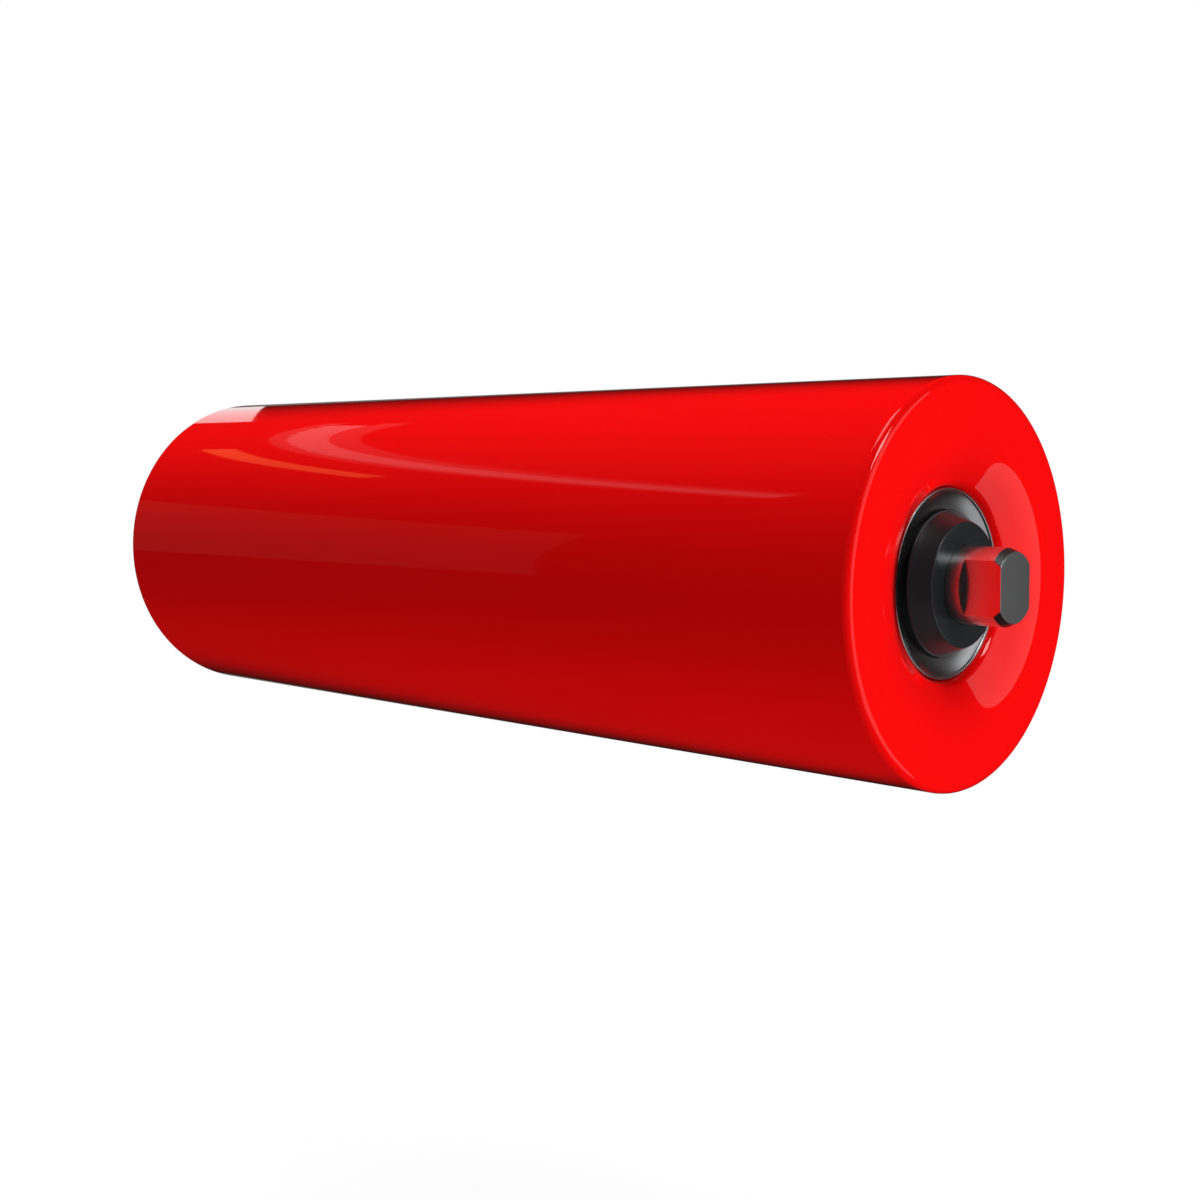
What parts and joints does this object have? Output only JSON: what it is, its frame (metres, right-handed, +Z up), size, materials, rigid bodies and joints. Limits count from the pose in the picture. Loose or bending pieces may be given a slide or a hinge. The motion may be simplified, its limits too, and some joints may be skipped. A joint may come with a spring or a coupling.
{
  "type": "conveyor roller",
  "caption": "Red painted steel conveyor roller: a tube turning on sealed ball bearings round a fixed spindle with milled flats at both ends.",
  "frame": {"origin": "middle of the roller on its axis", "axes": "+X along the spindle, +Y across the two flats of each spindle end, +Z up"},
  "size_m": [0.429, 0.133, 0.133],
  "materials": {
    "red_paint": "high gloss enamel",
    "spindle_steel": "bright drawn, lightly oiled",
    "bearing_steel": "ground",
    "ball_steel": "polished",
    "cage_steel": "pressed sheet",
    "spring_steel": "phosphated",
    "cover_metal": "bright plated",
    "cap_plastic": "semi-gloss",
    "turning_labyrinth_plastic": "moulded",
    "fixed_labyrinth_plastic": "moulded",
    "seal_rubber": "moulded"
  },
  "bodies": {
    "spindle": {"spindle": "spindle_steel", "left_bearing_inner_ring": "bearing_steel", "right_bearing_inner_ring": "bearing_steel", "left_circlip": "spring_steel", "right_circlip": "spring_steel", "left_fixed_labyrinth": "fixed_labyrinth_plastic", "right_fixed_labyrinth": "fixed_labyrinth_plastic", "left_seal_cap": "cap_plastic", "right_seal_cap": "cap_plastic"},
    "shell": {"shell_tube": "red_paint", "left_end_housing": "red_paint", "right_end_housing": "red_paint", "left_bearing_outer_ring": "bearing_steel", "right_bearing_outer_ring": "bearing_steel", "left_inner_seal": "seal_rubber", "right_inner_seal": "seal_rubber", "left_turning_labyrinth": "turning_labyrinth_plastic", "right_turning_labyrinth": "turning_labyrinth_plastic", "left_cover_ring": "cover_metal", "right_cover_ring": "cover_metal"},
    "left_cage": {"left_bearing_cage": "cage_steel", "left_bearing_balls": "ball_steel"},
    "right_cage": {"right_bearing_cage": "cage_steel", "right_bearing_balls": "ball_steel"}
  },
  "joints": [
    {"name": "shell_spin", "type": "hinge", "parent": "spindle", "child": "shell", "pos_m": [0, 0, 0], "axis": [1, 0, 0], "continuous": true},
    {"name": "left_cage_spin", "type": "hinge", "parent": "spindle", "child": "left_cage", "pos_m": [-0.1615, 0, 0], "axis": [1, 0, 0], "continuous": true},
    {"name": "right_cage_spin", "type": "hinge", "parent": "spindle", "child": "right_cage", "pos_m": [0.1615, 0, 0], "axis": [1, 0, 0], "continuous": true}
  ],
  "couplings": [
    {"joint": "left_cage_spin", "follows": "shell_spin", "ratio": 0.62878},
    {"joint": "right_cage_spin", "follows": "shell_spin", "ratio": 0.62878}
  ]
}
